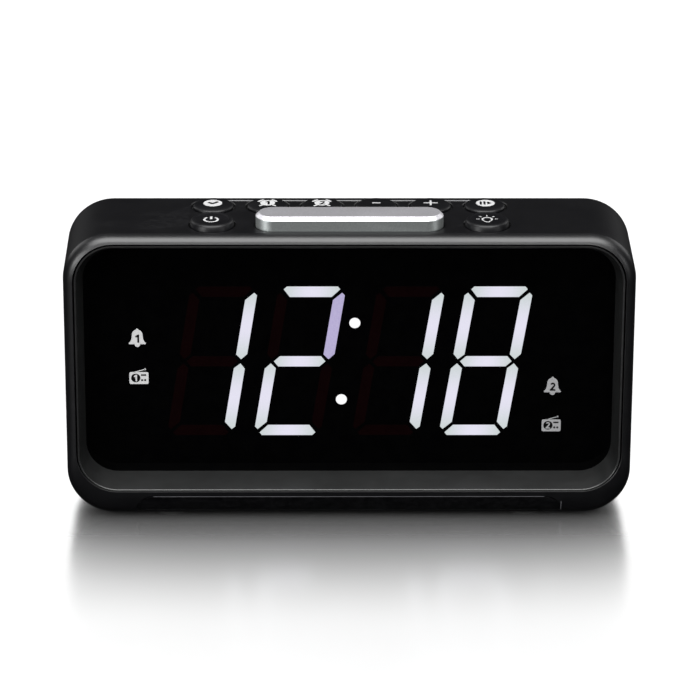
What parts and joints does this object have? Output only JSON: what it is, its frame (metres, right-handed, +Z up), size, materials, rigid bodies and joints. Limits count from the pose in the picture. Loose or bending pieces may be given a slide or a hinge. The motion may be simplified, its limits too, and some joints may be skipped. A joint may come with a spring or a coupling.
{
  "type": "clock radio",
  "caption": "Slim bedside clock radio: rounded black cabinet, recessed window with a large digital display, snooze bar and round keys on top, night light strip, raised rear housing.",
  "frame": {"origin": "middle of the radio's box at the underside of its feet", "axes": "+X to the viewer's right along the front, the display faces -Y, +Z up"},
  "size_m": [0.136, 0.046, 0.0766],
  "materials": {
    "satin_black_plastic": "fine satin texture",
    "gloss_black_plastic": "gloss",
    "smoked_window": "high gloss smoked acrylic",
    "smoked_strip": "satin smoked",
    "silver_plastic": "silver lacquer",
    "display_black": "matt with lit segments",
    "board_green": "solder resist",
    "component_black": "moulded",
    "tin_plate": "tinned",
    "zinc_steel": "zinc plated",
    "speaker_paper": "pressed paper",
    "ferrite": "sintered",
    "cell_jacket": "printed sleeve, plain",
    "black_rubber": "matt",
    "label_grey": "blank foil"
  },
  "bodies": {
    "radio": {"alarm_1_switch": "component_black", "alarm_2_switch": "component_black", "antenna_bush": "black_rubber", "backup_cell_1": "cell_jacket", "backup_cell_2": "cell_jacket", "battery_contact_left": "zinc_steel", "battery_contact_right": "zinc_steel", "blank_label": "label_grey", "cabinet": "satin_black_plastic", "clock_switch": "component_black", "display_board": "board_green", "display_connector": "component_black", "display_lens": "smoked_window", "display_module": "display_black", "front_foot_left": "black_rubber", "front_foot_right": "black_rubber", "front_frame": "gloss_black_plastic", "key_board": "board_green", "key_connector": "component_black", "light_switch": "component_black", "main_board": "board_green", "minus_switch": "component_black", "night_light_board": "board_green", "night_light_lens": "smoked_strip", "play_switch": "component_black", "plus_switch": "component_black", "power_inlet": "component_black", "power_switch": "component_black", "rear_cover": "satin_black_plastic", "rear_foot_left": "black_rubber", "rear_foot_right": "black_rubber", "rear_screw_1": "zinc_steel", "rear_screw_2": "zinc_steel", "rear_screw_3": "zinc_steel", "rear_screw_4": "zinc_steel", "snooze_switch": "component_black", "speaker_cone": "speaker_paper", "speaker_frame": "tin_plate", "speaker_magnet": "ferrite", "supply_capacitor": "component_black", "tuner_shield": "tin_plate"},
    "power_button": {"power_button": "satin_black_plastic"},
    "light_button": {"light_button": "satin_black_plastic"},
    "clock_button": {"clock_button": "satin_black_plastic"},
    "alarm_1_button": {"alarm_1_button": "satin_black_plastic"},
    "alarm_2_button": {"alarm_2_button": "satin_black_plastic"},
    "minus_button": {"minus_button": "satin_black_plastic"},
    "plus_button": {"plus_button": "satin_black_plastic"},
    "play_button": {"play_button": "satin_black_plastic"},
    "snooze_bar": {"snooze_bar": "silver_plastic"},
    "battery_door": {"battery_door": "satin_black_plastic"}
  },
  "joints": [
    {"name": "power_press", "type": "slide", "parent": "radio", "child": "power_button", "axis": [0, 0, -1], "range_m": [0, 0.0008], "stiffness_N_per_m": 1200, "springref_m": -0.0003},
    {"name": "light_press", "type": "slide", "parent": "radio", "child": "light_button", "axis": [0, 0, -1], "range_m": [0, 0.0008], "stiffness_N_per_m": 1200, "springref_m": -0.0003},
    {"name": "clock_press", "type": "slide", "parent": "radio", "child": "clock_button", "axis": [0, 0, -1], "range_m": [0, 0.0008], "stiffness_N_per_m": 1200, "springref_m": -0.0003},
    {"name": "alarm_1_press", "type": "slide", "parent": "radio", "child": "alarm_1_button", "axis": [0, 0, -1], "range_m": [0, 0.0008], "stiffness_N_per_m": 1200, "springref_m": -0.0003},
    {"name": "alarm_2_press", "type": "slide", "parent": "radio", "child": "alarm_2_button", "axis": [0, 0, -1], "range_m": [0, 0.0008], "stiffness_N_per_m": 1200, "springref_m": -0.0003},
    {"name": "minus_press", "type": "slide", "parent": "radio", "child": "minus_button", "axis": [0, 0, -1], "range_m": [0, 0.0008], "stiffness_N_per_m": 1200, "springref_m": -0.0003},
    {"name": "plus_press", "type": "slide", "parent": "radio", "child": "plus_button", "axis": [0, 0, -1], "range_m": [0, 0.0008], "stiffness_N_per_m": 1200, "springref_m": -0.0003},
    {"name": "play_press", "type": "slide", "parent": "radio", "child": "play_button", "axis": [0, 0, -1], "range_m": [0, 0.0008], "stiffness_N_per_m": 1200, "springref_m": -0.0003},
    {"name": "snooze_press", "type": "slide", "parent": "radio", "child": "snooze_bar", "axis": [0, 0, -1], "range_m": [0, 0.0008], "stiffness_N_per_m": 1500, "springref_m": -0.0004},
    {"name": "battery_door_slide", "type": "slide", "parent": "radio", "child": "battery_door", "axis": [0, 1, 0], "range_m": [0, 0.03]}
  ]
}
